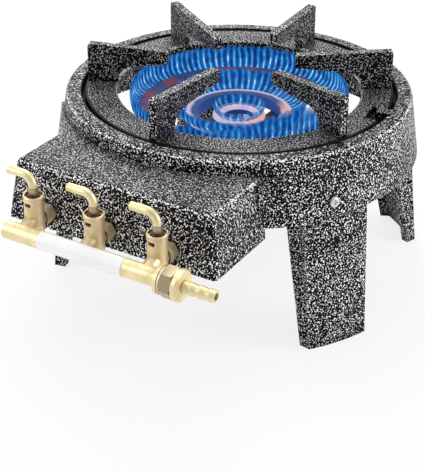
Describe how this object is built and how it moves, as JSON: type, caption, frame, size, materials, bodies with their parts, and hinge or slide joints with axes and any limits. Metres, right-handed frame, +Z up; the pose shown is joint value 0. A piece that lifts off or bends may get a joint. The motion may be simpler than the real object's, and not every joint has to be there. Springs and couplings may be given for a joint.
{
  "type": "three-ring gas burner",
  "caption": "Low gas burner on splayed legs: hammered round body with a lift-off pan support over concentric burners, and a valve box with brass lever taps on a manifold.",
  "frame": {"origin": "on the floor under the centre of the bounding box", "axes": "+Z up; -Y towards the taps; +X towards the hose tail"},
  "size_m": [0.3153, 0.4054, 0.2033],
  "materials": {
    "hammered_paint": "hammered dark grey stove paint with pale flecks",
    "burner_iron": "bare cast iron, heat-dulled",
    "steel": "zinc-plated",
    "brass": "cast and turned, unpolished to bright",
    "label": "blank white wrap label"
  },
  "bodies": {
    "root": {"ring_body": "hammered_paint", "valve_box": "hammered_paint", "leg_front_right": "hammered_paint", "leg_front_left": "hammered_paint", "leg_rear_right": "hammered_paint", "leg_rear_left": "hammered_paint", "outer_burner_base": "burner_iron", "outer_burner_cap": "burner_iron", "middle_burner_base": "burner_iron", "middle_burner_cap": "burner_iron", "inner_burner_base": "burner_iron", "inner_burner_cap": "burner_iron", "support_bar_left": "burner_iron", "support_bar_right": "burner_iron", "mixing_tube_left": "burner_iron", "mixing_tube_middle": "burner_iron", "mixing_tube_right": "burner_iron", "leg_screws": "steel", "leg_nuts": "steel", "bar_screws": "steel", "burner_screws": "steel", "tap_spring_left": "steel", "tap_spring_middle": "steel", "tap_spring_right": "steel", "air_shutter_left": "steel", "air_shutter_middle": "steel", "air_shutter_right": "steel", "manifold_pipe": "brass", "manifold_end_plug": "brass", "sealing_washer": "brass", "union_nut": "brass", "hose_tail": "brass", "tap_body_left": "brass", "tap_body_middle": "brass", "tap_body_right": "brass", "gland_nut_left": "brass", "gland_nut_middle": "brass", "gland_nut_right": "brass", "outlet_nut_left": "brass", "outlet_nut_middle": "brass", "outlet_nut_right": "brass", "gas_jet_left": "brass", "gas_jet_middle": "brass", "gas_jet_right": "brass", "label_sleeve": "label"},
    "pan": {"pan_support": "hammered_paint"},
    "tap_left": {"tap_plug_left": "brass", "stop_pin_left": "steel", "tap_lever_left": "brass"},
    "tap_middle": {"tap_plug_middle": "brass", "stop_pin_middle": "steel", "tap_lever_middle": "brass"},
    "tap_right": {"tap_plug_right": "brass", "stop_pin_right": "steel", "tap_lever_right": "brass"}
  },
  "joints": [
    {"name": "pan_support_lift", "type": "slide", "parent": "root", "child": "pan", "axis": [0, 0, 1], "range_m": [0, 0.06]},
    {"name": "tap_turn_left", "type": "hinge", "parent": "root", "child": "tap_left", "pos_m": [-0.057, -0.17359, 0.121], "axis": [0, 0, 1], "range_deg": [0, 90]},
    {"name": "tap_turn_middle", "type": "hinge", "parent": "root", "child": "tap_middle", "pos_m": [0, -0.17359, 0.121], "axis": [0, 0, 1], "range_deg": [0, 90]},
    {"name": "tap_turn_right", "type": "hinge", "parent": "root", "child": "tap_right", "pos_m": [0.057, -0.17359, 0.121], "axis": [0, 0, 1], "range_deg": [0, 90]}
  ]
}
